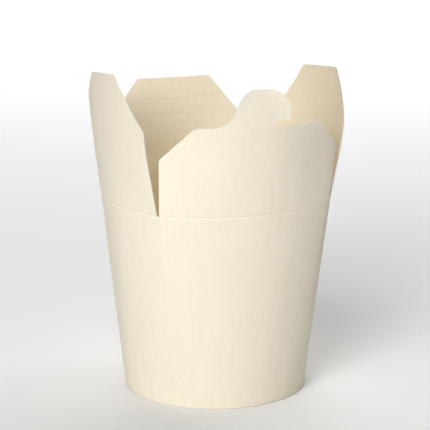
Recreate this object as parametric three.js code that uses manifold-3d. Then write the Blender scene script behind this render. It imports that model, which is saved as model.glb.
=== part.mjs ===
// Noodle takeaway box of thin paper board, standing open and empty. A round foot swells to a
// rounded square mouth, and four flaps fold on the score line round the mouth.
// Millimetres, +Z up. The origin is the middle of the foot, on the surface the box stands on.
// The front flap with its locking tab faces -Y, the right flap +X, the back flap +Y.

import * as THREE from "three";
import { mergeVertices } from "three/addons/utils/BufferGeometryUtils.js";
import Module from "manifold-3d";

const wasm = await Module();
wasm.setup();

// Board and clearances
const BOARD = 0.5;
const GAP = 0.3;

// Body, measured to the middle of the board
const FOOT_RADIUS = 44.5;
const SCORE_HEIGHT = 96.7;
const MOUTH_FLAT = 54.5; // axis to the middle of a panel, at the score line
const MOUTH_CORNER = 59.0; // axis to a corner, at the score line
const ROUND_HEIGHT = 9; // the wall is round up to here and grows its corners above
const LAP_WIDTH = 12; // glued lap of the wall's blank, from the rear left corner
const LAP_STEP = 0.3; // width over which the lap's edge drops to the board under it

// Foot: the wall's hem folds in and up round the base's skirt
const BASE_HEIGHT = 8; // underside of the base disc
const HEM_HEIGHT = 6.5;
const HEM_FOLD = 0.6; // board at the fold, under the skirt

// Slits between the flaps
const SLIT_RELIEF = 1.2; // how far a flap's root corner is trimmed, so that neighbours fold past
const SLIT_RELIEF_RUN = 28; // height over which the trim runs out

// Locking slit in the back flap, in flap coordinates
const LOCK_SLIT = { from: -24.5, to: 17, height: 36.9, width: 0.7, curlDrop: 2.6, curlReach: 2.4 };

// Flaps. Flap coordinates are the distance across, from the middle of the panel, and the distance
// up from the score line. A flap leans out by lean at the score line and by lean + bow at
// FLAP_REFERENCE. Its cross curvature goes from the mouth's at the score line to crossCurvature
// there, early or late by settle: the share of the change is 1 - (1 - share of height ^ a) ^ b.
const FLAP_REFERENCE = 60;
const FLAPS = {
  flap_front: {
    turn: 0,
    lean: 5.5,
    bow: 2,
    crossCurvature: -0.02,
    settle: [8, 1],
    low: { shoulder: [-45.1, 27.5], corner: [-29.5, 43.3] },
    high: { shoulder: [48.4, 28.9], corner: [32.9, 42.8] },
  },
  flap_right: {
    turn: 90,
    lean: 8,
    bow: -13,
    crossCurvature: 0.0071,
    settle: [1.2, 1.8],
    low: { shoulder: [-42.2, 38.6], corner: [-19.7, 61.4] },
    high: { shoulder: [44.6, 31.0], corner: [21.4, 56.5] },
  },
  flap_back: {
    turn: 180,
    lean: 9.3,
    bow: 1.9,
    crossCurvature: -0.0056,
    settle: [1, 2],
    low: { shoulder: [-43.2, 15.6], corner: [-19.1, 47.0] },
    high: { shoulder: [43.6, 15.9], corner: [19.3, 47.2] },
  },
  flap_left: {
    turn: 270,
    lean: 5.8,
    bow: -6.9,
    crossCurvature: 0.0059,
    settle: [1, 2],
    low: { shoulder: [-44.1, 40.3], corner: [-17.9, 59.6] },
    high: { shoulder: [45.0, 41.0], corner: [17.9, 63.9] },
  },
};

// Locking tab of the front flap, in flap coordinates
const TAB = {
  top: 60.9,
  neckMiddle: -21.2, // middle of the hollow curve from the flap's top edge up into the tab
  neckRadius: 10.6,
  slant: 20, // degrees that the tab's left side leans, between the neck and the top
  leftMiddle: -1.7, // middles of the two round corners of the tab's top
  leftRadius: 8.1,
  rightMiddle: 3.4,
  rightRadius: 11.9,
  heel: [15.6, 45.5], // foot of the tab's right side, over the notch
  notchLeft: 7.5,
  notchTop: 46.1,
  notchBottom: 42.9,
  notchRound: 1,
  dip: [19.0, 42.3], // the top edge's lowest point, right of the notch
  dipRound: 3,
  dipEnd: 27,
};

// How finely the solids are divided
const WALL_STEPS = 96;
const PLATE_COLUMNS = 26;
const PLATE_ROWS = 18;
const CURVE_DIVISIONS = 10;
const SLOPE_STEP = 0.05; // distance between the points that give a flap's slope
const TRIM = 10; // how far an outline runs on past the plate it trims
const CUT_OVERSHOOT = 1.2; // a cut from corner to shoulder, run on past the plate's side
const HEADROOM = 1; // how far the plate reaches over the flap cut out of it

const QUARTER_TURN = Math.PI / 2;
const REAR_LEFT = 1.25 * Math.PI;

// A panel at the score line is an arc through both its corners and its middle.
const CORNER_REACH = MOUTH_CORNER * Math.SQRT1_2;
const PANEL_SET_BACK =
  (2 * CORNER_REACH ** 2 - MOUTH_FLAT ** 2) / (2 * (MOUTH_FLAT - CORNER_REACH));
const PANEL_RADIUS = PANEL_SET_BACK + MOUTH_FLAT;
const PANEL_HALF = PANEL_RADIUS * Math.asin(CORNER_REACH / PANEL_RADIUS);
const MOUTH_MEAN = (2 * MOUTH_FLAT + MOUTH_CORNER) / 3;

const colours = {
  outside: { color: 0xf3ead3, roughness: 0.6, metalness: 0 },
  base: { color: 0xe6dcc0, roughness: 0.7, metalness: 0 },
};

// ---- helpers ----

function namedMesh(name, geometry, look) {
  const mesh = new THREE.Mesh(geometry, new THREE.MeshStandardMaterial(look));
  mesh.name = name;
  return mesh;
}

function indexedGeometry(vertices, indices) {
  const geometry = new THREE.BufferGeometry();
  geometry.setAttribute("position", new THREE.Float32BufferAttribute(vertices, 3));
  geometry.setIndex(indices);
  geometry.computeVertexNormals();
  return geometry;
}

function toSolid(geometry) {
  let bare = geometry.clone();
  bare.deleteAttribute("normal");
  bare.deleteAttribute("uv");
  bare = mergeVertices(bare, 1e-5);
  const vertProperties = new Float32Array(bare.attributes.position.array);
  const triVerts = new Uint32Array(bare.index.array);
  return new wasm.Manifold(new wasm.Mesh({ numProp: 3, vertProperties, triVerts }));
}

function toGeometry(solid) {
  const mesh = solid.getMesh();
  return indexedGeometry(Array.from(mesh.vertProperties), Array.from(mesh.triVerts));
}

// ---- body ----

// Angles run from -Y, counter-clockwise seen from above.
function mouthRadius(angle) {
  const off = angle - Math.round(angle / QUARTER_TURN) * QUARTER_TURN;
  const across = PANEL_SET_BACK * Math.sin(off);
  return Math.sqrt(PANEL_RADIUS ** 2 - across ** 2) - PANEL_SET_BACK * Math.cos(off);
}

function wallRadius(angle, z) {
  const mean = THREE.MathUtils.lerp(FOOT_RADIUS, MOUTH_MEAN, z / SCORE_HEIGHT);
  const squareness = Math.max(0, (z - ROUND_HEIGHT) / (SCORE_HEIGHT - ROUND_HEIGHT));
  return mean + squareness * (mouthRadius(angle) - MOUTH_MEAN);
}

// The back panel's board lies over the left panel's glued tab: a step at the corner that
// fades out across the lap.
function lapThickness(angle, radius) {
  const distance = (REAR_LEFT - angle) * radius;
  if (distance < 0 || distance > LAP_WIDTH) return 0;
  return BOARD * (1 - distance / LAP_WIDTH);
}

function wallAngles() {
  const angles = [];
  for (let i = 0; i < WALL_STEPS; i++) {
    angles.push((i / WALL_STEPS) * 2 * Math.PI);
  }
  angles.push(REAR_LEFT + LAP_STEP / MOUTH_MEAN);
  return angles.sort((a, b) => a - b);
}

// One closed profile round the axis: down the outside, in under the foot, up the hem, down the
// slot that takes the base's skirt, and up the inside.
function wallProfile() {
  const half = BOARD / 2;
  const slotDepth = half + BOARD + 2 * GAP;
  const hemDepth = slotDepth + BOARD;
  const top = SCORE_HEIGHT - GAP / 2;
  return [
    { z: top, depth: -half, outside: true },
    { z: ROUND_HEIGHT, depth: -half, outside: true },
    { z: 0, depth: -half, outside: true },
    { z: 0, depth: hemDepth },
    { z: HEM_HEIGHT, depth: hemDepth },
    { z: HEM_HEIGHT, depth: slotDepth },
    { z: HEM_FOLD, depth: slotDepth },
    { z: HEM_FOLD, depth: half },
    { z: ROUND_HEIGHT, depth: half },
    { z: top, depth: half },
  ];
}

function wallGeometry() {
  const angles = wallAngles();
  const profile = wallProfile();
  const vertices = [];
  for (const angle of angles) {
    for (const point of profile) {
      const middle = wallRadius(angle, point.z);
      const lap = point.outside ? lapThickness(angle, middle) : 0;
      const radius = middle - point.depth + lap;
      vertices.push(radius * Math.sin(angle), -radius * Math.cos(angle), point.z);
    }
  }
  const indices = [];
  const count = profile.length;
  for (let i = 0; i < angles.length; i++) {
    const here = i * count;
    const next = ((i + 1) % angles.length) * count;
    for (let j = 0; j < count; j++) {
      const k = (j + 1) % count;
      indices.push(here + j, here + k, next + j);
      indices.push(next + j, here + k, next + k);
    }
  }
  return indexedGeometry(vertices, indices);
}

// A disc with a skirt that hangs down into the hem's slot.
function baseGeometry() {
  const skirtOut = BOARD / 2 + GAP;
  const skirtIn = skirtOut + BOARD;
  const skirtFoot = HEM_FOLD + GAP;
  const discTop = BASE_HEIGHT + BOARD;
  const profile = [
    new THREE.Vector2(0, BASE_HEIGHT),
    new THREE.Vector2(wallRadius(0, BASE_HEIGHT) - skirtIn, BASE_HEIGHT),
    new THREE.Vector2(wallRadius(0, skirtFoot) - skirtIn, skirtFoot),
    new THREE.Vector2(wallRadius(0, skirtFoot) - skirtOut, skirtFoot),
    new THREE.Vector2(wallRadius(0, discTop) - skirtOut, discTop),
    new THREE.Vector2(0, discTop),
  ];
  const geometry = new THREE.LatheGeometry(profile, WALL_STEPS);
  geometry.rotateX(QUARTER_TURN);
  return geometry;
}

// ---- flaps, all built as the front flap stands and then turned to their side ----

// Middle of the board at a place in flap coordinates.
function flapPoint(flap, across, up) {
  const share = up / FLAP_REFERENCE;
  const lean = THREE.MathUtils.degToRad(flap.lean);
  const bow = THREE.MathUtils.degToRad(flap.bow);
  const bowRadius = FLAP_REFERENCE / bow;
  const out = MOUTH_FLAT + bowRadius * (Math.cos(lean) - Math.cos(lean + bow * share));
  const z = SCORE_HEIGHT + bowRadius * (Math.sin(lean + bow * share) - Math.sin(lean));
  const [a, b] = flap.settle;
  const settled = 1 - (1 - THREE.MathUtils.clamp(share, 0, 1) ** a) ** b;
  const curvature = THREE.MathUtils.lerp(1 / PANEL_RADIUS, flap.crossCurvature, settled);
  const turn = curvature * across;
  const sideways = Math.sin(turn) / curvature;
  const drop = (1 - Math.cos(turn)) / curvature;
  return new THREE.Vector3(sideways, drop - out, z);
}

// The same place, moved out of the box by offset, square to the board.
function flapSurface(flap, across, up, offset) {
  const here = flapPoint(flap, across, up);
  const sideways = flapPoint(flap, across + SLOPE_STEP, up).sub(here);
  const upward = flapPoint(flap, across, up + SLOPE_STEP).sub(here);
  const outward = sideways.cross(upward).normalize();
  return here.addScaledVector(outward, offset);
}

// Half width of the flap at a height, along the slit and on past the shoulder.
function slitEdge(side, up) {
  const [shoulderAcross, shoulderUp] = side.shoulder;
  const share = Math.min(up / shoulderUp, 1);
  const width = THREE.MathUtils.lerp(PANEL_HALF, Math.abs(shoulderAcross), share);
  return width - SLIT_RELIEF * Math.max(0, 1 - up / SLIT_RELIEF_RUN);
}

// A bent plate of board, as wide as the panel and taller than the flap.
function bentPlate(flap, height) {
  const vertices = [];
  for (const offset of [BOARD / 2, -BOARD / 2]) {
    for (let row = 0; row <= PLATE_ROWS; row++) {
      const up = THREE.MathUtils.lerp(GAP / 2, height, row / PLATE_ROWS);
      const low = -slitEdge(flap.low, up);
      const high = slitEdge(flap.high, up);
      for (let column = 0; column <= PLATE_COLUMNS; column++) {
        const across = THREE.MathUtils.lerp(low, high, column / PLATE_COLUMNS);
        vertices.push(...flapSurface(flap, across, up, offset).toArray());
      }
    }
  }
  const stride = PLATE_COLUMNS + 1;
  const layer = stride * (PLATE_ROWS + 1);
  const indices = [];
  const quad = (a, b, c, d) => indices.push(a, b, c, a, c, d);
  for (let row = 0; row < PLATE_ROWS; row++) {
    for (let column = 0; column < PLATE_COLUMNS; column++) {
      const a = row * stride + column;
      const b = a + 1;
      const c = b + stride;
      const d = a + stride;
      quad(a, b, c, d);
      quad(layer + a, layer + d, layer + c, layer + b);
    }
    const left = row * stride;
    const right = left + PLATE_COLUMNS;
    quad(left, left + stride, layer + left + stride, layer + left);
    quad(right, layer + right, layer + right + stride, right + stride);
  }
  const topRow = PLATE_ROWS * stride;
  for (let column = 0; column < PLATE_COLUMNS; column++) {
    const top = topRow + column;
    quad(column, layer + column, layer + column + 1, column + 1);
    quad(top, top + 1, layer + top + 1, layer + top);
  }
  return indexedGeometry(vertices, indices);
}

// A straight bar through the board, whose section is an outline in flap coordinates.
function outlineBar(flap, outline) {
  const placed = outline.map(([across, up]) => {
    const point = flapPoint(flap, across, up);
    return new THREE.Vector2(point.x, point.z);
  });
  const reach = 2 * MOUTH_CORNER;
  const bar = new THREE.ExtrudeGeometry(new THREE.Shape(placed), {
    depth: reach,
    bevelEnabled: false,
  });
  return bar.rotateX(QUARTER_TURN);
}

// Where the cut from a corner to its shoulder leaves the plate.
function cutRunOut(side) {
  const [cornerAcross, cornerUp] = side.corner;
  const [shoulderAcross, shoulderUp] = side.shoulder;
  return [
    cornerAcross + (shoulderAcross - cornerAcross) * CUT_OVERSHOOT,
    cornerUp + (shoulderUp - cornerUp) * CUT_OVERSHOOT,
  ];
}

function flapOutline(flap, topEdge) {
  const [lowAcross, lowUp] = cutRunOut(flap.low);
  const [highAcross, highUp] = cutRunOut(flap.high);
  return [
    [lowAcross, -TRIM],
    [highAcross, -TRIM],
    [highAcross, highUp],
    flap.high.corner,
    ...topEdge,
    flap.low.corner,
    [lowAcross, lowUp],
  ];
}

// The tab's edge from the right to the left: dip, notch, right side, rounded top, hollow neck.
function tabEdge(flap) {
  const level = flap.low.corner[1];
  const path = new THREE.Path();
  path.moveTo(TAB.dipEnd, flap.high.corner[1]);
  path.quadraticCurveTo(TAB.dip[0] + TAB.dipRound, TAB.dip[1], ...TAB.dip);
  const { notchLeft, notchTop, notchBottom, notchRound } = TAB;
  path.lineTo(notchLeft + notchRound, notchBottom);
  path.quadraticCurveTo(notchLeft, notchBottom, notchLeft, notchBottom + notchRound);
  path.lineTo(notchLeft, notchTop - notchRound);
  path.quadraticCurveTo(notchLeft, notchTop, notchLeft + notchRound, notchTop);
  path.lineTo(...TAB.heel);
  const slant = THREE.MathUtils.degToRad(TAB.slant);
  const rightUp = TAB.top - TAB.rightRadius;
  path.absarc(TAB.rightMiddle, rightUp, TAB.rightRadius, 0, QUARTER_TURN, false);
  const leftUp = TAB.top - TAB.leftRadius;
  path.absarc(TAB.leftMiddle, leftUp, TAB.leftRadius, QUARTER_TURN, Math.PI - slant, false);
  const neckUp = level + TAB.neckRadius;
  path.absarc(TAB.neckMiddle, neckUp, TAB.neckRadius, -slant, -QUARTER_TURN, true);
  return path.getPoints(CURVE_DIVISIONS).map((point) => [point.x, point.y]);
}

// A thin slot whose left end, seen from inside the box, curls down.
function lockSlitOutline() {
  const { from, to, height, width, curlDrop, curlReach } = LOCK_SLIT;
  const top = height + width / 2;
  const bottom = height - width / 2;
  return [
    [from, bottom],
    [to, bottom],
    [to + curlReach, bottom - curlDrop],
    [to + curlReach + width, top - curlDrop],
    [to + width / 2, top],
    [from, top],
  ];
}

function flapGeometry(name, flap) {
  const topEdge = name === "flap_front" ? tabEdge(flap) : [];
  const highest = Math.max(flap.low.corner[1], flap.high.corner[1], ...topEdge.map(([, up]) => up));
  const plate = toSolid(bentPlate(flap, highest + HEADROOM));
  let solid = plate.intersect(toSolid(outlineBar(flap, flapOutline(flap, topEdge))));
  if (name === "flap_back") {
    solid = solid.subtract(toSolid(outlineBar(flap, lockSlitOutline())));
  }
  return toGeometry(solid);
}

// ---- the box ----

const box = new THREE.Group();
box.add(namedMesh("wall", wallGeometry(), colours.outside));
box.add(namedMesh("base", baseGeometry(), colours.base));
for (const [name, flap] of Object.entries(FLAPS)) {
  const mesh = namedMesh(name, flapGeometry(name, flap), colours.outside);
  mesh.rotation.z = THREE.MathUtils.degToRad(flap.turn);
  box.add(mesh);
}

export default box;
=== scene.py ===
"""Noodle takeaway box: an open, empty pail of cream paper board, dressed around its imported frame.

Lengths are in millimetres until a piece is made, which turns them into metres. The studio is in
metres. Angles round the box run from -Y, counter-clockwise seen from above. A place on a flap is
given by its distance across, from the middle of the panel, and its distance up from the score
line.
"""
import math
import random

import bpy
import numpy as np
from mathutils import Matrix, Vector
from mathutils.geometry import delaunay_2d_cdt


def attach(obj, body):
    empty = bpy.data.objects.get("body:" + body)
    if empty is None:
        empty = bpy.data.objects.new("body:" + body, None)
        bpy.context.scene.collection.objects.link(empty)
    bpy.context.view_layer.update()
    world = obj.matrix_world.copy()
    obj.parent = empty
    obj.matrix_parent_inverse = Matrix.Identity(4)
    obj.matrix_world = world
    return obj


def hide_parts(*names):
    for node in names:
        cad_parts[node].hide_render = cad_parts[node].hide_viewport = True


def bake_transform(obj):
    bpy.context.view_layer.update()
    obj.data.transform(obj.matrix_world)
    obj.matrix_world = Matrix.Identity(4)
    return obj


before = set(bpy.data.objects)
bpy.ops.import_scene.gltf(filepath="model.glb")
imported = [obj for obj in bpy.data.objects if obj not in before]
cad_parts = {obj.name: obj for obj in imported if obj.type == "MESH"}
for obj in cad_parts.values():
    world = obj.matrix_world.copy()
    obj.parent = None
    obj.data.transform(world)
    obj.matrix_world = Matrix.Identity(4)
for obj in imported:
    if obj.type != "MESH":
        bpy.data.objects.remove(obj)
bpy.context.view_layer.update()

MM = 0.001
QUARTER = math.pi / 2
TINY = 1e-6  # a length or a curvature that counts as none
TINY_AREA = 1e-9

# Board
BOARD = 0.5
HALF = BOARD / 2

# Body, to the middle of the board
FOOT_RADIUS = 44.5
SCORE_HEIGHT = 96.7
MOUTH_FLAT = 54.5  # from the axis to the middle of a side of the mouth
MOUTH_CORNER = 59.0  # from the axis to a corner of the mouth
ROUND_HEIGHT = 9.0  # height up to which the body stays round
CORNER_SOFTNESS = 1.6  # half width of the bend at a corner, well below the slits
CORNER_SHARP_RUN = 40.0  # distance below the score line over which a corner gets that soft

# Each side of the mouth is an arc, and its circle's centre lies beyond the axis
CORNER_REACH = MOUTH_CORNER * math.sqrt(0.5)
PANEL_SET_BACK = (2 * CORNER_REACH**2 - MOUTH_FLAT**2) / (2 * (MOUTH_FLAT - CORNER_REACH))
PANEL_RADIUS = PANEL_SET_BACK + MOUTH_FLAT
PANEL_HALF = PANEL_RADIUS * math.asin(CORNER_REACH / PANEL_RADIUS)
MOUTH_MEAN = (2 * MOUTH_FLAT + MOUTH_CORNER) / 3

# Foot: the wall's hem, turned in round the base's skirt
HEM_HEIGHT = 6.5
HEM_DEPTH = 1.85  # from the middle of the wall's board to the hem's inner face
HEM_SLOT = 1.35  # from the same place to the hem's face towards the skirt
FOLD_RADIUS = 0.6
SLOT_FLOOR = 0.9

# Base disc, with its skirt down into the slot
BASE_HEIGHT = 8.0  # underside of the disc
BASE_SPREAD = 1.0  # how much wider the wall is there than at the foot
BASE_GAP = 0.04  # between the disc's rim and the wall
BASE_EDGE = FOOT_RADIUS + BASE_SPREAD - HALF - BASE_GAP
BASE_BEND = 1.1  # outer radius of the bend from disc to skirt
BASE_DOME = 0.35  # how far the disc's middle stands up
SKIRT_TAPER = 0.75  # how much less the skirt's radius is at its foot
SKIRT_FOOT = 1.2  # height of that foot, clear of the slot's floor

# Glued lap of the wall's blank, from the rear left corner along the back panel
LAP_ANGLE = 1.25 * math.pi
LAP_WIDTH = 12.0
LAP_STEP = 0.12  # width of the step at its edge

# Score line round the mouth
SCORE_DEPTH = 0.25
SCORE_SHARE_INSIDE = 0.4
SCORE_WIDTH_ABOVE = 0.5
SCORE_WIDTH_BELOW = 0.36

# Flaps. Each stands `turn` degrees round the box, and leans out by `lean` degrees at the score
# line and by `bow` more at FLAP_REFERENCE. On the way there its cross curvature goes from the
# mouth's to `curvature`, on a course given by the two powers in `settle`. `low` and `high` are the
# shoulder and the top corner at its two ends.
FLAP_REFERENCE = 60.0
FLAPS = {
    "front": dict(
        turn=0.0, lean=5.5, bow=2.0, curvature=-0.02, settle=(8, 1),
        low=((-45.55, 27.5), (-29.5, 43.3)), high=((49.0, 28.9), (32.9, 42.8)),
    ),
    "right": dict(
        turn=90.0, lean=8.0, bow=-13.0, curvature=0.0071, settle=(1.2, 1.8),
        low=((-42.2, 38.6), (-19.7, 61.4)), high=((44.6, 31.0), (21.4, 56.5)),
    ),
    "back": dict(
        turn=180.0, lean=9.3, bow=1.9, curvature=-0.0056, settle=(1, 2),
        low=((-43.2, 15.6), (-19.1, 47.0)), high=((43.6, 15.9), (19.3, 47.2)),
    ),
    "left": dict(
        turn=270.0, lean=5.8, bow=-6.9, curvature=0.0059, settle=(1, 2),
        low=((-44.1, 40.3), (-17.9, 59.6)), high=((45.0, 41.0), (17.9, 63.9)),
    ),
}
SIDE_FLAPS = ("left", "right")
PAINTED_SHADE_EDGED = ("back", "right")  # flaps whose cut edges get painted shade: a darker copy of the cut edge's colour
ROOT_REACH = (0.38, 0.9)  # how far the other flaps' roots pass the corners, low end and high
SIDE_TRIM = 1.5  # how far the side flaps' roots stop short of the corners
SIDE_TRIM_RUN = 17.5  # height over which that trim runs out

# Locking tab of the front flap
TAB = dict(
    top=60.9, neck_middle=-21.2, neck_radius=10.6, slant=20.0,
    left_middle=-1.7, left_radius=8.1, right_middle=3.4, right_radius=11.9,
    heel=(15.6, 45.5), heel_round=0.5,
    notch_left=7.5, notch_top=46.1, notch_bottom=42.9, notch_round=1.3,
    dip=(19.0, 42.3), dip_pull=3.0, dip_end=27.0,
)
TAB_BACK = 0.2  # degrees that the tab leans back for each millimetre of its height
TAB_CURL = 0.026  # forward curvature of the tab's free end, over the notch
DENT = dict(depth=0.65, across=33.0, width=10.5, rise=10.0)  # along the front flap's right side

# Locking slit and crease of the back flap
SLIT_LINE = dict(start=-24.5, end=17.0, height=36.35, curl=(19.4, 33.6))
SLIT_CURL_RUN = 3.0  # how far before its end the slit starts to curl down
SLIT_CURL_PULL = 1.2  # how far past its end the curl is pulled
SLIT_WIDTH = 0.22
SLIT_PINCH = 0.21
CREASE_LINE = dict(start=-33.0, end=12.5, height=27.85)
CREASE_WIDTH = 0.55
CREASE_DEPTH = 0.15
GROOVE_FALL = 1.6  # how fast a pressed line's depth falls off to its sides

# Corners of an outline
CORNER_ROUNDING = 1.2
ROUNDING_SHARE = 0.45  # the most of an edge that a rounding takes

# The board isn't quite even: long, low waves, mostly upright
WAVE_SEED = 11
WAVE_COUNT = 9
WAVE_HEIGHT = 0.045
WAVE_LENGTH = (17, 60)
WAVE_RISE = (-0.25, 0.25)

# Mesh fineness
SLOPE_STEP = 0.02
SHARP_ANGLE = math.radians(38)  # an edge turned further than this is shaded sharp
WALL_STEPS = 320
WALL_LEVEL = 1.3
SCORE_LEVELS = (0.0, 0.12, 0.24, 0.36, 0.5, 0.65, 0.85, 1.1, 1.5, 2.1)  # below the score line
CORNER_ROWS = (0.35, 0.8)  # distances from a corner where the wall's mesh has more points
HEM_LEVELS = (2.5, 4.5, HEM_HEIGHT)
FOLD_STEPS = 5
BEND_STEPS = 6
TOP_RINGS = (3, 10, 18, 26, 33, 39, 42)
UNDER_RINGS = (41, 35, 26, 16, 7, 3)
FLAP_STEP = 1.1
EDGE_STEP = 0.6
CURVE_STEPS = 8
ROUNDING_STEPS = 5
LEAST_ARC_STEPS = 4
GRID_ROW = 0.87  # distance between the grid's rows, as a share of FLAP_STEP
GRID_CLEARANCE = 0.45  # distance of the grid from the outline, as a share of FLAP_STEP
LINE_CLEARANCE = 0.35  # distance of the grid from the rows along a line, as the same share
ROW_CLEARANCE = 0.12  # distance of the rows from the outline
SCORE_ROWS = (0.15, 0.3, 0.5, 0.75, 1.1)  # rows above the score line
LINE_ROWS = (-2, -1, -0.5, 0, 0.5, 1, 2)  # rows along a line, in its half widths
SAME_PLACE = 1e-4  # distance under which two points of an outline are one
MERGE_DISTANCE = 1e-5  # the same for points that are joined into triangles

# Material slots of each piece
OUTSIDE, INSIDE, CUT_EDGE = 0, 1, 2


# ---- shapes ----

def lerp(a, b, share):
    return a + (b - a) * share


def make_waves():
    """Wave vectors and phases of the board's unevenness."""
    draw = random.Random(WAVE_SEED)
    waves = []
    for _ in range(WAVE_COUNT):
        heading = draw.uniform(0, math.pi)
        rise = draw.uniform(*WAVE_RISE)
        length = draw.uniform(*WAVE_LENGTH)
        direction = np.array([math.cos(heading), math.sin(heading), rise])
        waves.append((direction * 2 * math.pi / length, draw.uniform(0, 2 * math.pi)))
    return waves


WAVES = make_waves()


def unevenness(points):
    """How far the waves move each point out."""
    total = np.zeros(len(points))
    for vector, phase in WAVES:
        total += np.sin(points @ vector + phase)
    return total * WAVE_HEIGHT


def mouth_radius(angle, softness):
    """Radius of the mouth's rounded square; softness rounds its corners off."""
    off = np.abs(angle - np.round(angle / QUARTER) * QUARTER)
    to_corner = QUARTER / 2 - off
    off = QUARTER / 2 - np.sqrt(to_corner**2 + softness**2)
    across = PANEL_SET_BACK * np.sin(off)
    return np.sqrt(PANEL_RADIUS**2 - across**2) - PANEL_SET_BACK * np.cos(off)


def wall_middle(angle, z):
    """The middle of the wall's board, round at the foot and square at the mouth."""
    mean = lerp(FOOT_RADIUS, MOUTH_MEAN, z / SCORE_HEIGHT)
    square = np.clip((z - ROUND_HEIGHT) / (SCORE_HEIGHT - ROUND_HEIGHT), 0, 1)
    below = np.maximum(SCORE_HEIGHT - z, 0)
    softness = CORNER_SOFTNESS / MOUTH_CORNER * (1 - np.exp(-below / CORNER_SHARP_RUN))
    radius = mean + square * (mouth_radius(angle, softness) - MOUTH_MEAN)
    return np.stack([radius * np.sin(angle), -radius * np.cos(angle), z], -1)


def flap_middle(flap, across, up):
    """The middle of a flap's board: it leans, bows, and curves from side to side."""
    share = up / FLAP_REFERENCE
    lean = math.radians(flap["lean"])
    bow = math.radians(flap["bow"])
    bow_radius = FLAP_REFERENCE / bow
    out = MOUTH_FLAT + bow_radius * (math.cos(lean) - np.cos(lean + bow * share))
    z = SCORE_HEIGHT + bow_radius * (np.sin(lean + bow * share) - math.sin(lean))
    a, b = flap["settle"]
    settled = 1 - (1 - np.clip(share, 0, 1) ** a) ** b
    curvature = lerp(1 / PANEL_RADIUS, flap["curvature"], settled)
    curvature = np.where(np.abs(curvature) < TINY, TINY, curvature)
    x = np.sin(curvature * across) / curvature
    y = (1 - np.cos(curvature * across)) / curvature - out
    turn = math.radians(flap["turn"])
    cos, sin = math.cos(turn), math.sin(turn)
    return np.stack([x * cos - y * sin, x * sin + y * cos, z], -1)


def front_middle(flap, across, up):
    """The front flap: its right side is pressed in, and its tab leans back a little and curls
    forward over the notch."""
    free = (up > (TAB["notch_bottom"] + TAB["notch_top"]) / 2) & (across > TAB["notch_left"])
    held = np.where(free, TAB["notch_left"], across)
    here = flap_middle(flap, held, up)
    along = (flap_middle(flap, held + SLOPE_STEP, up) - here) / SLOPE_STEP
    here = here + along * (across - held)[:, None]
    here[:, 1] -= TAB_CURL * (across - held) ** 2 / 2
    over = np.maximum(up - flap["low"][1][1], 0)
    here[:, 1] += math.radians(TAB_BACK) * over**2 / 2
    settled = 1 - np.exp(-((up / DENT["rise"]) ** 2))
    aside = (held - DENT["across"]) / DENT["width"]
    here[:, 1] += DENT["depth"] * settled * np.exp(-(aside**2))
    return here


def offset_surface(middle, first, second, offset):
    """Points of a surface moved out along its normal, given the surface as a function."""
    here = middle(first, second)
    along = middle(first + SLOPE_STEP, second) - here
    upward = middle(first, second + SLOPE_STEP) - here
    normal = np.cross(along, upward)
    normal /= np.linalg.norm(normal, axis=1)[:, None]
    return here + normal * (offset + unevenness(here))[:, None], here


def score_groove(above, inner):
    """How far the score line moves a face out; it shows less on the inside."""
    width = np.where(above > 0, SCORE_WIDTH_ABOVE, SCORE_WIDTH_BELOW)
    depth = SCORE_DEPTH * (SCORE_SHARE_INSIDE if inner else 1)
    return -depth * np.exp(-((above / width) ** 2))


# ---- meshes ----

def make_piece(name, points, rest, faces, looks, materials):
    """A mesh object from points in mm, with its rest places kept for the materials."""
    mesh = bpy.data.meshes.new(name)
    mesh.from_pydata([tuple(p) for p in np.asarray(points) * MM], [], faces)
    for material in materials:
        mesh.materials.append(material)
    mesh.polygons.foreach_set("material_index", looks)
    place = mesh.attributes.new("rest", "FLOAT_VECTOR", "POINT")
    place.data.foreach_set("vector", (np.asarray(rest) * MM).astype(np.float32).ravel())
    mesh.validate()
    mesh.shade_smooth()
    mesh.set_sharp_from_angle(angle=SHARP_ANGLE)
    mesh.update()
    piece = bpy.data.objects.new(name, mesh)
    bpy.context.scene.collection.objects.link(piece)
    return piece


def ring_faces(rings, steps, closed):
    """Quads of a surface swept round the axis; each ring has as many points as steps."""
    faces = []
    count = rings if closed else rings - 1
    for ring in range(count):
        upper = ring * steps
        lower = ((ring + 1) % rings) * steps
        for step in range(steps):
            turn = (step + 1) % steps
            faces.append((upper + step, lower + step, lower + turn, upper + turn))
    return faces


# ---- wall ----

def wall_angles():
    """Even angles round the wall, with more at the corners and at the lap's edge."""
    angles = [2 * math.pi * i / WALL_STEPS for i in range(WALL_STEPS)]
    angles += [LAP_ANGLE + LAP_STEP / MOUTH_MEAN]
    for corner in range(4):
        for away in CORNER_ROWS:
            angles += [QUARTER * (corner + 0.5) + side * away / MOUTH_MEAN for side in (-1, 1)]
    return np.array(sorted(angles))


def lap_thickness(angle, z):
    """How far the outside stands out over the lap: most at the corner, and none at its end."""
    distance = (LAP_ANGLE - angle) * lerp(FOOT_RADIUS, MOUTH_MEAN, z / SCORE_HEIGHT)
    lap = BOARD * (1 - distance / LAP_WIDTH)
    return np.where((distance >= -TINY) & (distance <= LAP_WIDTH), lap, 0.0)


def wall_levels():
    """Heights from the score line down to the fold at the foot, close together at the score."""
    levels = [SCORE_HEIGHT - drop for drop in SCORE_LEVELS]
    count = round((levels[-1] - FOLD_RADIUS) / WALL_LEVEL)
    return levels + [lerp(levels[-1], FOLD_RADIUS, i / count) for i in range(1, count + 1)]


def fold_arc(centre_depth, start):
    """Depths and heights of a quarter round at the foot."""
    points = []
    for i in range(1, FOLD_STEPS + 1):
        angle = start + QUARTER * i / FOLD_STEPS
        depth = centre_depth - FOLD_RADIUS * math.cos(angle)
        points.append((depth, FOLD_RADIUS - FOLD_RADIUS * math.sin(angle)))
    return points


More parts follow.
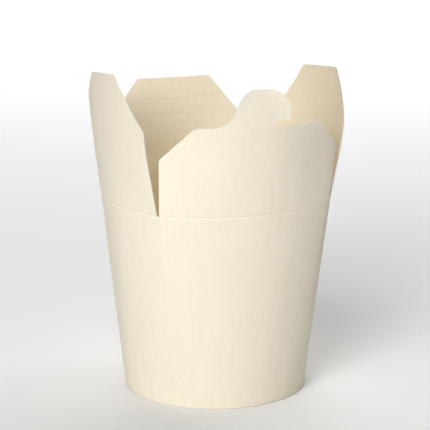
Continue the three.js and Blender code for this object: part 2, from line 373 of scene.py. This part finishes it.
def build_wall(materials):
    """The wall with its hem: rings down the outside, round the fold, up the hem, down the slot
    and up the inside."""
    angles = wall_angles()
    levels = wall_levels()
    profile = [(-HALF, z, OUTSIDE) for z in levels]
    profile += [(d, z, OUTSIDE) for d, z in fold_arc(FOLD_RADIUS - HALF, 0)]
    profile += [(d, z, OUTSIDE) for d, z in fold_arc(HEM_DEPTH - FOLD_RADIUS, QUARTER)]
    profile += [(HEM_DEPTH, z, OUTSIDE) for z in HEM_LEVELS]
    profile += [(HEM_SLOT, HEM_HEIGHT, INSIDE), (HEM_SLOT, SLOT_FLOOR, INSIDE)]
    profile += [(HALF, SLOT_FLOOR, INSIDE)]
    profile += [(HALF, z, INSIDE) for z in reversed(levels) if z > SLOT_FLOOR]
    points, rest, looks = [], [], []
    for depth, z, look in profile:
        offset = np.full(len(angles), -depth) + score_groove(z - SCORE_HEIGHT, depth > 0)
        if depth == -HALF:
            offset = offset + lap_thickness(angles, z)
        moved, here = offset_surface(wall_middle, angles, np.full(len(angles), z), offset)
        moved[:, 2] = z
        points.append(moved)
        rest.append(here)
        looks += [look] * len(angles)
    faces = ring_faces(len(profile), len(angles), closed=True)
    # The last ring of faces joins the inside to the outside along the score line
    looks[-len(angles):] = [CUT_EDGE] * len(angles)
    return make_piece(
        "wall_board", np.vstack(points), np.vstack(rest), faces, looks, materials
    )


# ---- base ----

def domed(radius, level):
    """Height of one of the disc's faces, which is at level where it meets the bend."""
    return level + BASE_DOME * (1 - (radius / BASE_EDGE) ** 2)


def bend_arc(edge, level, bend, look):
    """Rings of one face of the bend, from the disc out to the skirt."""
    rings = []
    for i in range(BEND_STEPS + 1):
        angle = QUARTER * i / BEND_STEPS
        radius = edge - bend + bend * math.sin(angle)
        rings.append((radius, level - bend + bend * math.cos(angle), look))
    return rings


def build_base(materials):
    """The disc with its skirt: rings from the middle of the top face out, down and back in."""
    angles = np.arange(WALL_STEPS) * 2 * math.pi / WALL_STEPS
    top = BASE_HEIGHT + BOARD
    skirt_edge = BASE_EDGE - SKIRT_TAPER
    profile = [(radius, domed(radius, top), INSIDE) for radius in TOP_RINGS]
    profile += bend_arc(BASE_EDGE, top, BASE_BEND, INSIDE)
    profile += [(skirt_edge, SKIRT_FOOT, INSIDE), (skirt_edge - BOARD, SKIRT_FOOT, OUTSIDE)]
    profile += reversed(bend_arc(BASE_EDGE - BOARD, BASE_HEIGHT, BASE_BEND / 2, OUTSIDE))
    profile += [(radius, domed(radius, BASE_HEIGHT), OUTSIDE) for radius in UNDER_RINGS]
    points, looks = [], []
    for radius, z, look in profile:
        points += [(radius * math.sin(a), -radius * math.cos(a), z) for a in angles]
        looks += [look] * len(angles)
    rings = len(profile)
    faces = ring_faces(rings, len(angles), closed=False)
    looks = looks[: len(faces)]
    top_middle, under_middle = len(points), len(points) + 1
    points += [(0, 0, domed(0, top)), (0, 0, domed(0, BASE_HEIGHT))]
    last = (rings - 1) * len(angles)
    for step in range(len(angles)):
        turn = (step + 1) % len(angles)
        faces.append((top_middle, step, turn))
        faces.append((under_middle, last + turn, last + step))
        looks += [INSIDE, OUTSIDE]
    return make_piece("base_disc", points, points, faces, looks, materials)


# ---- flaps ----

def arc(centre, radius, start, end):
    count = max(LEAST_ARC_STEPS, round(abs(end - start) * radius / EDGE_STEP))
    turns = [lerp(start, end, i / count) for i in range(count + 1)]
    return [(centre[0] + radius * math.cos(t), centre[1] + radius * math.sin(t)) for t in turns]


def between(a, b, share):
    """The place at a share of the way from a to b."""
    return (lerp(a[0], b[0], share), lerp(a[1], b[1], share))


def curve(a, b, c, count=CURVE_STEPS):
    """A quadratic curve from a to c, pulled towards b."""
    shares = [i / count for i in range(count + 1)]
    return [between(between(a, b, t), between(b, c, t), t) for t in shares]


def rounded(before, corner, after, radius=CORNER_ROUNDING):
    """The corner with its point taken off."""
    def towards(other):
        return between(corner, other, min(radius / math.dist(corner, other), ROUNDING_SHARE))
    return curve(towards(before), corner, towards(after), ROUNDING_STEPS)


def tab_edge(flap):
    """The front flap's top edge from right to left: dip, notch, tab and hollow neck."""
    t = TAB
    dip, heel = t["dip"], t["heel"]
    notch_low = (t["notch_left"], t["notch_bottom"])
    notch_high = (t["notch_left"], t["notch_top"])
    right = (t["right_middle"], t["top"] - t["right_radius"])
    left = (t["left_middle"], t["top"] - t["left_radius"])
    neck = (t["neck_middle"], flap["low"][1][1] + t["neck_radius"])
    slant = math.radians(t["slant"])
    edge = curve((t["dip_end"], flap["high"][1][1]), (dip[0] + t["dip_pull"], dip[1]), dip)
    edge += rounded(dip, notch_low, notch_high, t["notch_round"])
    edge += rounded(notch_low, notch_high, heel, t["notch_round"])
    edge += rounded(notch_high, heel, (right[0] + t["right_radius"], right[1]), t["heel_round"])
    edge += arc(right, t["right_radius"], 0, QUARTER)
    edge += arc(left, t["left_radius"], QUARTER, math.pi - slant)
    edge += arc(neck, t["neck_radius"], -slant, -QUARTER)
    return edge


def trim_end(shoulder, side):
    """Where a side flap's trim meets the straight edge from the corner to the shoulder."""
    return (lerp(side * PANEL_HALF, shoulder[0], SIDE_TRIM_RUN / shoulder[1]), SIDE_TRIM_RUN)


def flap_outline(name, flap):
    """The outline, counter-clockwise, from the low end of the score line."""
    trimmed = name in SIDE_FLAPS
    low_reach, high_reach = (-SIDE_TRIM, -SIDE_TRIM) if trimmed else ROOT_REACH
    low_shoulder, low_corner = flap["low"]
    high_shoulder, high_corner = flap["high"]
    top = tab_edge(flap) if name == "front" else []
    after_high = top[0] if top else low_corner
    before_low = top[-1] if top else high_corner
    low_root = (-PANEL_HALF - low_reach, 0.0)
    high_root = (PANEL_HALF + high_reach, 0.0)
    outline = [low_root, high_root]
    if trimmed:
        low_root = trim_end(low_shoulder, -1)
        high_root = trim_end(high_shoulder, 1)
        outline.append(high_root)
    outline += rounded(high_root, high_shoulder, high_corner)
    outline += rounded(high_shoulder, high_corner, after_high)
    outline += top
    outline += rounded(before_low, low_corner, low_shoulder)
    outline += rounded(low_corner, low_shoulder, low_root)
    if trimmed:
        outline.append(low_root)
    return outline


def divided(outline):
    """The closed outline with points no further apart than EDGE_STEP."""
    points = []
    for here, after in zip(outline, outline[1:] + outline[:1]):
        length = math.dist(here, after)
        if length < SAME_PLACE:
            continue
        count = max(1, math.ceil(length / EDGE_STEP))
        points += [between(here, after, i / count) for i in range(count)]
    return points


def marked_lines(name):
    """Lines pressed or cut into a flap: their points, half width, and depth on each face."""
    if name != "back":
        return []
    end, height = SLIT_LINE["end"], SLIT_LINE["height"]
    slit_points = [(SLIT_LINE["start"], height), (end - SLIT_CURL_RUN, height)]
    slit_points += curve(slit_points[-1], (end + SLIT_CURL_PULL, height), SLIT_LINE["curl"])
    level = CREASE_LINE["height"]
    crease_points = [(CREASE_LINE["start"], level), (CREASE_LINE["end"], level)]
    return [
        (slit_points, SLIT_WIDTH, -SLIT_PINCH, SLIT_PINCH),
        (crease_points, CREASE_WIDTH, CREASE_DEPTH, CREASE_DEPTH),
    ]


def distance_to_line(points, line):
    """Distance of each point from a line of several stretches."""
    nearest = np.full(len(points), np.inf)
    for a, b in zip(line, line[1:]):
        a, b = np.array(a), np.array(b)
        span = b - a
        if span @ span < TINY_AREA:
            continue
        share = np.clip((points - a) @ span / (span @ span), 0, 1)
        nearest = np.minimum(nearest, np.linalg.norm(points - a - share[:, None] * span, axis=1))
    return nearest


def inside(points, outline):
    """Whether each point is inside the outline."""
    result = np.zeros(len(points), bool)
    x, y = points[:, 0], points[:, 1]
    for (x0, y0), (x1, y1) in zip(outline, outline[1:] + outline[:1]):
        if y0 == y1:
            continue
        result ^= ((y0 > y) != (y1 > y)) & (x < (x1 - x0) * (y - y0) / (y1 - y0) + x0)
    return result


def flap_points(outline, lines):
    """Points inside the outline: a staggered grid, rows along the score and along the lines."""
    closed = outline + outline[:1]
    low = np.min(outline, axis=0)
    high = np.max(outline, axis=0)
    grid = []
    for row, up in enumerate(np.arange(low[1] + FLAP_STEP, high[1], FLAP_STEP * GRID_ROW)):
        shift = FLAP_STEP / 2 * (row % 2)
        grid += [(across, up) for across in np.arange(low[0] + shift, high[0], FLAP_STEP)]
    grid = np.array(grid)
    clear = distance_to_line(grid, closed) > FLAP_STEP * GRID_CLEARANCE
    rows = []
    for up in SCORE_ROWS:
        rows += [(across, up) for across in np.arange(low[0], high[0], EDGE_STEP)]
    for line, width, _, _ in lines:
        clear &= distance_to_line(grid, line) > width * 2 + FLAP_STEP * LINE_CLEARANCE
        rows += line_rows(line, width)
    rows = np.array(rows)
    kept_grid = grid[clear & inside(grid, outline)]
    kept_rows = rows[(distance_to_line(rows, closed) > ROW_CLEARANCE) & inside(rows, outline)]
    return [tuple(p) for p in kept_grid] + [tuple(p) for p in kept_rows]


def line_rows(line, width):
    """Points on a line and beside it, so that the mesh can follow its groove."""
    rows = []
    for a, b in zip(line, line[1:]):
        length = math.dist(a, b)
        if length < TINY:
            continue
        side = ((a[1] - b[1]) / length, (b[0] - a[0]) / length)
        count = max(1, math.ceil(length / EDGE_STEP))
        for i in range(count + 1):
            x, y = between(a, b, i / count)
            rows += [(x + side[0] * width * k, y + side[1] * width * k) for k in LINE_ROWS]
    return rows


def triangulate(outline, extra):
    """Counter-clockwise triangles that fill the outline and use the extra points."""
    points = [Vector(p) for p in outline + extra]
    count = len(outline)
    edges = [(i, (i + 1) % count) for i in range(count)]
    verts, _, faces, _, _, _ = delaunay_2d_cdt(points, edges, [], 0, MERGE_DISTANCE, False)
    flat = np.array([(v.x, v.y) for v in verts])
    triangles = np.array([tuple(f) for f in faces])
    kept = triangles[inside(flat[triangles].mean(axis=1), outline)]
    a, b, c = flat[kept[:, 0]], flat[kept[:, 1]], flat[kept[:, 2]]
    area = np.cross(b - a, c - a)
    solid = np.abs(area) > TINY_AREA
    kept, area = kept[solid], area[solid]
    kept[area < 0] = kept[area < 0][:, ::-1]
    return flat, [tuple(int(i) for i in t) for t in kept]


def border_edges(triangles):
    """Directed edges that only one triangle uses."""
    seen = set()
    for a, b, c in triangles:
        seen.update(((a, b), (b, c), (c, a)))
    return [(a, b) for a, b in seen if (b, a) not in seen]


def groove(flat, lines, face):
    """How far a face moves out where lines are pressed into the board."""
    relief = score_groove(flat[:, 1], face < 0)
    for line, width, outer, inner in lines:
        depth = outer if face > 0 else inner
        near = distance_to_line(flat, line) / width
        relief += depth * np.exp(-(near**2) * GROOVE_FALL)
    return relief


def build_flap(name, flap, materials):
    """A flap: its outline is filled with triangles, which are laid on both faces of the board and
    joined along the cut edge."""
    lines = marked_lines(name)
    outline = divided(flap_outline(name, flap))
    flat, triangles = triangulate(outline, flap_points(outline, lines))
    used = sorted({i for t in triangles for i in t})
    renumber = {old: new for new, old in enumerate(used)}
    flat = flat[used]
    triangles = [tuple(renumber[i] for i in t) for t in triangles]
    count = len(flat)
    shape = front_middle if name == "front" else flap_middle

    def middle(across, up):
        return shape(flap, across, up)

    points, rest = [], []
    for face in (1, -1):
        offset = face * HALF + groove(flat, lines, face)
        moved, here = offset_surface(middle, flat[:, 0], flat[:, 1], offset)
        moved[flat[:, 1] < TINY, 2] = SCORE_HEIGHT
        points.append(moved)
        rest.append(here)
    faces = list(triangles)
    looks = [OUTSIDE] * len(triangles)
    faces += [(c + count, b + count, a + count) for a, b, c in triangles]
    looks += [INSIDE] * len(triangles)
    for a, b in border_edges(triangles):
        faces.append((b, a, a + count, b + count))
        looks.append(CUT_EDGE)
    return make_piece(
        f"flap_{name}_board", np.vstack(points), np.vstack(rest), faces, looks, materials
    )


# ---- materials ----

# Noises of the board: scale, stretch along each axis, detail
NOISES = {
    "mottle": (70, (1, 1, 0.7), 4),
    "streak": (420, (1, 1, 0.045), 3),
    "cloud": (480, (1, 1, 0.8), 2),
    "fibre": (2600, (1, 1, 0.35), 4),
}
NOISE_ROUGHNESS = 0.55

# Tints that they lay over the board, in order: the noise, the range in which its tint comes up,
# the most of it, and its tone beside the deep colour
MOTTLE_RANGE = (0.3, 0.7)
TINTS = (
    ("mottle", MOTTLE_RANGE, 0.55, 1.0),
    ("streak", (0.45, 0.75), 0.4, 0.97),
    ("fibre", (0.52, 0.8), 0.3, 0.9),
    ("cloud", (0.35, 0.65), 0.25, 0.93),
)

# Heights between which the inside of the board turns to a painted shade tone, darker and yellower
# further down in the box
PAINTED_SHADE_FROM = 66.0
PAINTED_SHADE_TO = 104.0

# Relief of the fibres and streaks, and how far the roughness goes below and above its mean
FIBRE_RELIEF = 0.06
STREAK_RELIEF = 0.1
STREAK_STRENGTH = 0.3
ROUGHNESS_LESS = 0.05
ROUGHNESS_MORE = 0.06

# Looks of the board: its light and deep tones, a painted shade tone deep inside, roughness, gloss,
# and how far the fibres show
BOARD_LOOKS = {
    "outside": dict(
        light=(0.914, 0.848, 0.7), deep=(0.894, 0.818, 0.66),
        roughness=0.72, gloss=0.12, grain=0.25,
    ),
    # Its painted shade tone, darker and yellower, stands in for the shade deep in the box.
    "inside": dict(
        light=(0.983, 0.893, 0.724), deep=(0.963, 0.865, 0.683), painted_shade_tone=(0.88, 0.78, 0.52),
        roughness=0.76, gloss=0.1, grain=0.25,
    ),
    "cut_edge": dict(
        light=(0.92, 0.89, 0.82), deep=(0.85, 0.81, 0.72),
        roughness=0.85, gloss=0.1, grain=0.6,
    ),
    # A darker copy of the cut edge: painted shade on the edges that face away from the light.
    "cut_edge_painted_shade": dict(
        light=(0.6, 0.53, 0.49), deep=(0.5, 0.44, 0.41),
        roughness=0.85, gloss=0.1, grain=0.6,
    ),
}
FLOOR_COLOUR = (0.88, 0.88, 0.88, 1)
FLOOR_ROUGHNESS = 0.9
FLOOR_GLOSS = 0.1


def noise(nodes, links, place, scale, stretch, detail):
    """A noise of the rest place, stretched along each axis."""
    mapping = nodes.new("ShaderNodeMapping")
    mapping.inputs["Scale"].default_value = stretch
    links.new(place, mapping.inputs["Vector"])
    texture = nodes.new("ShaderNodeTexNoise")
    texture.inputs["Scale"].default_value = scale
    texture.inputs["Detail"].default_value = detail
    texture.inputs["Roughness"].default_value = NOISE_ROUGHNESS
    links.new(mapping.outputs["Vector"], texture.inputs["Vector"])
    return texture.outputs["Fac"]


def remap(nodes, links, value, low, high, to_low, to_high):
    node = nodes.new("ShaderNodeMapRange")
    node.inputs["From Min"].default_value = low
    node.inputs["From Max"].default_value = high
    node.inputs["To Min"].default_value = to_low
    node.inputs["To Max"].default_value = to_high
    links.new(value, node.inputs["Value"])
    return node.outputs["Result"]


def tinted(nodes, links, colour, other, share):
    """A mix of two colours by share; colour may be a socket or a value."""
    node = nodes.new("ShaderNodeMix")
    node.data_type = "RGBA"
    if isinstance(colour, tuple):
        node.inputs["A"].default_value = (*colour, 1)
    else:
        links.new(colour, node.inputs["A"])
    node.inputs["B"].default_value = (*other, 1)
    links.new(share, node.inputs["Factor"])
    return node.outputs["Result"]


def bump_node(nodes, links, height, strength, distance):
    """A relief that stands so many mm proud where the height is 1."""
    bump = nodes.new("ShaderNodeBump")
    bump.inputs["Strength"].default_value = strength
    bump.inputs["Distance"].default_value = distance * MM
    links.new(height, bump.inputs["Height"])
    return bump


def board_material(name, light, deep, roughness, gloss, grain, painted_shade_tone=None):
    """Paper board: a soft mottle, upright machine streaks, fine fibres and small clouds.

    Where a painted shade tone is given, the board turns to it from just above the score line down:
    painted shade deep in the box.
    """
    material = bpy.data.materials.new(name)
    material.use_nodes = True
    nodes, links = material.node_tree.nodes, material.node_tree.links
    shader = nodes["Principled BSDF"]
    place_node = nodes.new("ShaderNodeAttribute")
    place_node.attribute_name = "rest"
    place = place_node.outputs["Vector"]
    noises = {kind: noise(nodes, links, place, *numbers) for kind, numbers in NOISES.items()}
    colour = light
    for kind, (low, high), most, tone in TINTS:
        share = remap(nodes, links, noises[kind], low, high, 0, most)
        colour = tinted(nodes, links, colour, tuple(c * tone for c in deep), share)
    # Painted shade: the inside turns to a darker, yellower tone further down in the box.
    if painted_shade_tone:
        split = nodes.new("ShaderNodeSeparateXYZ")
        links.new(place, split.inputs["Vector"])
        low = remap(nodes, links, split.outputs["Z"], PAINTED_SHADE_FROM * MM, PAINTED_SHADE_TO * MM, 1, 0)
        colour = tinted(nodes, links, colour, painted_shade_tone, low)
    links.new(colour, shader.inputs["Base Color"])
    low, high = roughness - ROUGHNESS_LESS, roughness + ROUGHNESS_MORE
    rough = remap(nodes, links, noises["mottle"], *MOTTLE_RANGE, low, high)
    links.new(rough, shader.inputs["Roughness"])
    shader.inputs["Specular IOR Level"].default_value = gloss
    fine = bump_node(nodes, links, noises["fibre"], grain, FIBRE_RELIEF)
    coarse = bump_node(nodes, links, noises["streak"], STREAK_STRENGTH, STREAK_RELIEF)
    links.new(fine.outputs["Normal"], coarse.inputs["Normal"])
    links.new(coarse.outputs["Normal"], shader.inputs["Normal"])
    return material


def floor_material():
    material = bpy.data.materials.new("studio_floor")
    material.use_nodes = True
    shader = material.node_tree.nodes["Principled BSDF"]
    shader.inputs["Base Color"].default_value = FLOOR_COLOUR
    shader.inputs["Roughness"].default_value = FLOOR_ROUGHNESS
    shader.inputs["Specular IOR Level"].default_value = FLOOR_GLOSS
    return material


# ---- studio, in metres ----

CAMERA_AZIMUTH = math.radians(-19.54)
CAMERA_DISTANCE = 0.900
CAMERA_HEIGHT = 0.30656
CAMERA_PITCH = math.radians(13.849)
CAMERA_CLIP = 0.05
IMAGE_SIZE = 430
FOCAL_PIXELS = 1891.2
SENSOR = 36.0  # in millimetres, as the lens is

# Softboxes round the box, all at one distance: name, azimuth, elevation, watts
SOFTBOXES = (
    ("key", -40, 22, 17.2),
    ("key_upper", -40, 50, 9.0),
    ("rear", 110, 50, 6.0),
    ("front_low", -20, 8, 2.8),
)
SOFTBOX_DISTANCE = 1.8
SOFTBOX_SIZE = 0.9

# One more hangs over the floor behind the box and keeps the backdrop white
BACKDROP_DISTANCE = 1.6
BACKDROP_HEIGHT = 1.2
BACKDROP_SIZE = 1.6
BACKDROP_POWER = 25.4
WORLD_GLOW = 0.05
FLOOR_HALF = 6.0


def build_camera():
    data = bpy.data.cameras.new("camera")
    data.sensor_width = SENSOR
    data.lens = FOCAL_PIXELS / IMAGE_SIZE * SENSOR
    data.clip_start = CAMERA_CLIP
    camera = bpy.data.objects.new("camera", data)
    camera.location = (
        CAMERA_DISTANCE * math.sin(CAMERA_AZIMUTH),
        -CAMERA_DISTANCE * math.cos(CAMERA_AZIMUTH),
        CAMERA_HEIGHT,
    )
    camera.rotation_euler = (QUARTER - CAMERA_PITCH, 0, CAMERA_AZIMUTH)
    bpy.context.scene.collection.objects.link(camera)
    bpy.context.scene.camera = camera


def build_floor():
    mesh = bpy.data.meshes.new("floor")
    corners = [(x * FLOOR_HALF, y * FLOOR_HALF, 0) for x, y in ((-1, -1), (1, -1), (1, 1), (-1, 1))]
    mesh.from_pydata(corners, [], [(0, 1, 2, 3)])
    mesh.materials.append(floor_material())
    floor = bpy.data.objects.new("floor", mesh)
    bpy.context.scene.collection.objects.link(floor)


def softbox(name, place, away, size, power):
    """A round soft light at place, which shines against the direction away."""
    data = bpy.data.lights.new(name, "AREA")
    data.shape = "DISK"
    data.size = size
    data.energy = power
    light = bpy.data.objects.new(name, data)
    light.location = place
    light.rotation_euler = away.to_track_quat("Z", "Y").to_euler()
    bpy.context.scene.collection.objects.link(light)


def direction(azimuth, elevation):
    """The unit vector that way from the box, for angles in degrees."""
    a, e = math.radians(azimuth), math.radians(elevation)
    return Vector((math.sin(a) * math.cos(e), -math.cos(a) * math.cos(e), math.sin(e)))


def build_lights():
    middle = Vector((0, 0, SCORE_HEIGHT * MM))
    for name, azimuth, elevation, power in SOFTBOXES:
        away = direction(azimuth, elevation)
        softbox(name, middle + away * SOFTBOX_DISTANCE, away, SOFTBOX_SIZE, power)
    behind = direction(math.degrees(CAMERA_AZIMUTH) + 180, 0) * BACKDROP_DISTANCE
    above = Vector((0, 0, 1))
    softbox("backdrop", behind + above * BACKDROP_HEIGHT, above, BACKDROP_SIZE, BACKDROP_POWER)
    world = bpy.data.worlds.new("studio")
    world.use_nodes = True
    background = world.node_tree.nodes["Background"]
    background.inputs["Color"].default_value = (1, 1, 1, 1)
    background.inputs["Strength"].default_value = WORLD_GLOW
    bpy.context.scene.world = world
    bpy.context.scene.view_settings.view_transform = "Standard"


def main():
    boards = {name: board_material(f"board_{name}", **look) for name, look in BOARD_LOOKS.items()}
    looks = [boards["outside"], boards["inside"], boards["cut_edge"]]
    # The back and right flaps' cut edges get the darker copy, as painted shade.
    painted_shade_looks = [boards["outside"], boards["inside"], boards["cut_edge_painted_shade"]]

    wall = build_wall(looks)
    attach(wall, "root")
    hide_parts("wall")

    base = build_base(looks)
    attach(base, "root")
    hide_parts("base")

    for name, flap in FLAPS.items():
        piece = build_flap(name, flap, painted_shade_looks if name in PAINTED_SHADE_EDGED else looks)
        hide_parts(f"flap_{name}")
        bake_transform(piece)

    build_camera()
    build_floor()
    build_lights()


main()
